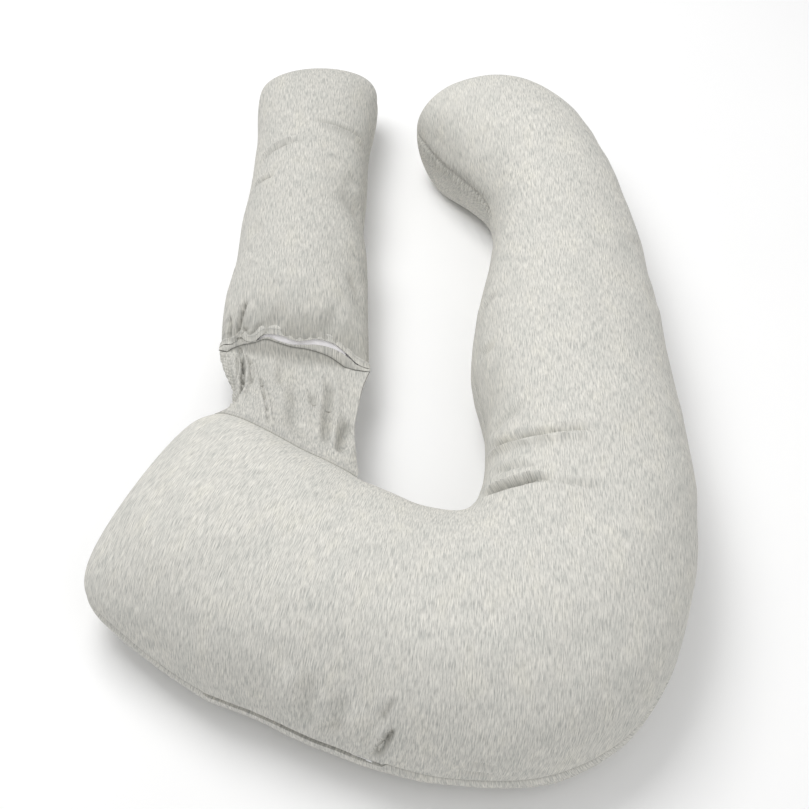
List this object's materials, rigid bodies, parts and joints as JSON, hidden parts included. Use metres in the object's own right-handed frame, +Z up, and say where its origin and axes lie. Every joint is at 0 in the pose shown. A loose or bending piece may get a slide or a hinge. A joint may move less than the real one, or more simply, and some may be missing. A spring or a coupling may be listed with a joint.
{
  "type": "nursing pillow",
  "caption": "Stuffed hook-shaped nursing pillow in heather-grey jersey with a small bolster joined to it by a flat gathered cloth panel.",
  "frame": {"origin": "under the middle of the whole pillow's bounding box, on the plane it rests on", "axes": "+Z up; +Y along the bolster and the long arm, away from the blunt end; +X towards the long arm"},
  "size_m": [0.6744, 1.0542, 0.1881],
  "materials": {
    "heather_jersey": "matt knitted jersey, grey heather",
    "white_case": "matt woven cloth, white",
    "fibre_fill": "loose polyester fibre, white",
    "zip_tape": "matt woven tape",
    "zip_nylon": "satin nylon",
    "zip_painted_metal": "white paint",
    "elastic": "matt braided elastic"
  },
  "bodies": {
    "main_pillow": {"main_cover_top": "heather_jersey", "main_cover_bottom": "heather_jersey", "main_insert_case_top": "white_case", "main_insert_case_bottom": "white_case", "main_fibre_fill": "fibre_fill", "zip_tape_upper": "zip_tape", "zip_tape_lower": "zip_tape", "zip_coil_upper": "zip_nylon", "zip_coil_lower": "zip_nylon", "zip_top_stop": "zip_nylon", "zip_bottom_stop": "zip_nylon"},
    "zip_slider": {"zip_slider": "zip_painted_metal"},
    "zip_pull": {"zip_pull_tab": "zip_painted_metal"},
    "link_panel": {"link_panel_top": "heather_jersey", "link_panel_bottom": "heather_jersey", "link_gather_elastic": "elastic"},
    "bolster": {"bolster_cover_top": "heather_jersey", "bolster_cover_bottom": "heather_jersey", "bolster_insert_case_top": "white_case", "bolster_insert_case_bottom": "white_case", "bolster_fibre_fill": "fibre_fill", "mouth_hem_upper": "heather_jersey", "mouth_hem_lower": "heather_jersey"}
  },
  "joints": [
    {"name": "panel_fold", "type": "hinge", "parent": "main_pillow", "child": "link_panel", "pos_m": [-0.1217, -0.1453, 0.1322], "axis": [0.8716, -0.4902, 0], "range_deg": [0, 70]},
    {"name": "bolster_fold", "type": "hinge", "parent": "link_panel", "child": "bolster", "pos_m": [-0.1197, 0.0141, 0.062], "axis": [0.983, -0.1836, 0], "range_deg": [0, 45]},
    {"name": "zip_slide", "type": "slide", "parent": "main_pillow", "child": "zip_slider", "axis": [-0.9186, 0.3951, 0], "range_m": [0, 0.172]},
    {"name": "zip_pull_flip", "type": "hinge", "parent": "zip_slider", "child": "zip_pull", "pos_m": [-0.02429, -0.50164, 0.056], "axis": [0, 0, 1], "range_deg": [0, 150]}
  ]
}
